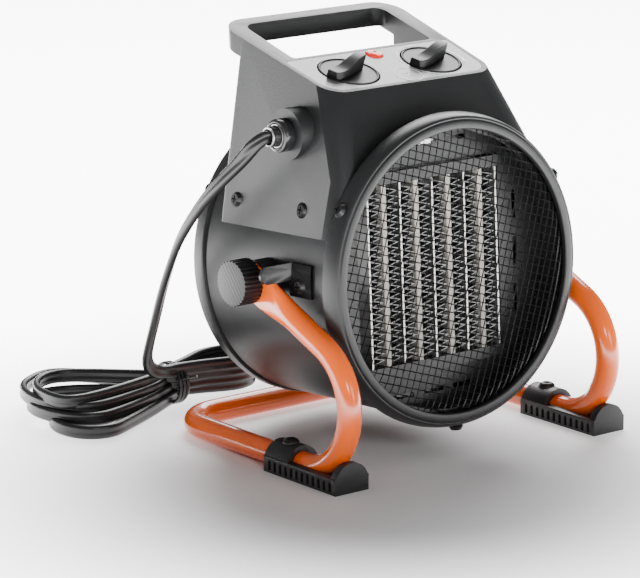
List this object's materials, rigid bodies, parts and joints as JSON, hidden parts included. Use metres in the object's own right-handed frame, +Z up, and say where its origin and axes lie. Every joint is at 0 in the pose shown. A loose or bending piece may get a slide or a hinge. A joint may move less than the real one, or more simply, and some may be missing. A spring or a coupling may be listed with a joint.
{
  "type": "ceramic space heater",
  "caption": "Round portable ceramic space heater that tilts on a bent-tube floor stand, with rubber feet, two control knobs, a carry handle and a mains cord.",
  "frame": {"origin": "on the floor under the middle of the heater and its stand, cord left out", "axes": "+Z up; +X to the right of the heater seen from its front; the warm air leaves along -Y, so the front faces -Y"},
  "size_m": [0.2983, 0.3001, 0.2579],
  "materials": {
    "tube": "gloss powder coat, orange",
    "rubber": "moulded, satin",
    "dark_screw": "black oxide, semi-gloss",
    "drum": "satin fine-texture powder coat, charcoal",
    "guard": "black coat, semi-gloss",
    "housing": "fine-texture moulded, charcoal",
    "control_plate": "smooth satin, charcoal",
    "lens": "clear red, lit",
    "pale_plastic": "moulded, cream",
    "nut": "moulded, glossy",
    "steel": "zinc plated",
    "knob": "moulded, satin black",
    "core_metal": "mill finish",
    "ceramic": "unglazed, cream",
    "bar_plastic": "heat-resistant, black",
    "cord": "smooth cable jacket, black",
    "tie": "black",
    "pins": "nickelled brass"
  },
  "bodies": {
    "stand": {"stand_tube": "tube", "left_foot": "rubber", "right_foot": "rubber", "foot_screws": "dark_screw", "cord_drop": "cord", "cord_hank": "cord", "hank_tie": "tie", "plug_body": "cord", "plug_pins": "pins"},
    "heater": {"drum_shell": "drum", "front_bezel": "drum", "front_guard": "guard", "back_ring": "drum", "back_grille": "guard", "upper_housing": "housing", "control_plate": "control_plate", "lamp_lens": "lens", "lamp_holder": "pale_plastic", "gland_nut": "nut", "gland_body": "nut", "strain_relief": "rubber", "pivot_studs": "steel", "pivot_spacers": "rubber", "stop_tabs": "guard", "tab_screws": "dark_screw", "skirt_screws": "dark_screw", "bezel_screws": "dark_screw", "ring_screws": "dark_screw", "baffle_screws": "dark_screw", "core_plates": "core_metal", "core_strips": "ceramic", "core_fins": "core_metal", "core_bars": "bar_plastic", "baffle": "guard", "fan_duct": "steel", "fan_motor": "steel", "motor_bracket": "guard", "motor_screws": "steel", "power_switch": "pale_plastic", "thermostat": "pale_plastic", "thermal_cutout": "steel", "terminal_block": "pale_plastic", "cord_end": "cord"},
    "left_thumb": {"left_thumb_knob": "knob"},
    "right_thumb": {"right_thumb_knob": "knob"},
    "fan": {"fan_blades": "core_metal", "motor_shaft": "steel"},
    "power_dial": {"power_knob": "knob", "power_shaft": "pale_plastic"},
    "heat_dial": {"heat_knob": "knob", "heat_shaft": "steel"}
  },
  "joints": [
    {"name": "tilt", "type": "hinge", "parent": "stand", "child": "heater", "pos_m": [0, 0.006, 0.1135], "axis": [1, 0, 0], "range_deg": [-11, 2.5]},
    {"name": "left_clamp", "type": "hinge", "parent": "heater", "child": "left_thumb", "pos_m": [-0.115, 0.006, 0.1135], "axis": [-1, 0, 0], "range_deg": [-180, 180]},
    {"name": "right_clamp", "type": "hinge", "parent": "heater", "child": "right_thumb", "pos_m": [0.115, 0.006, 0.1135], "axis": [1, 0, 0], "range_deg": [-180, 180]},
    {"name": "fan_spin", "type": "hinge", "parent": "heater", "child": "fan", "pos_m": [0, 0.01137, 0.11117], "axis": [0, 0.9981, -0.061], "continuous": true},
    {"name": "power_turn", "type": "hinge", "parent": "heater", "child": "power_dial", "pos_m": [-0.033, 0.00335, 0.2345], "axis": [0, -0.2622, 0.965], "range_deg": [-180, 90]},
    {"name": "heat_turn", "type": "hinge", "parent": "heater", "child": "heat_dial", "pos_m": [0.033, 0.00335, 0.2345], "axis": [0, -0.2622, 0.965], "range_deg": [-180, 90]}
  ]
}
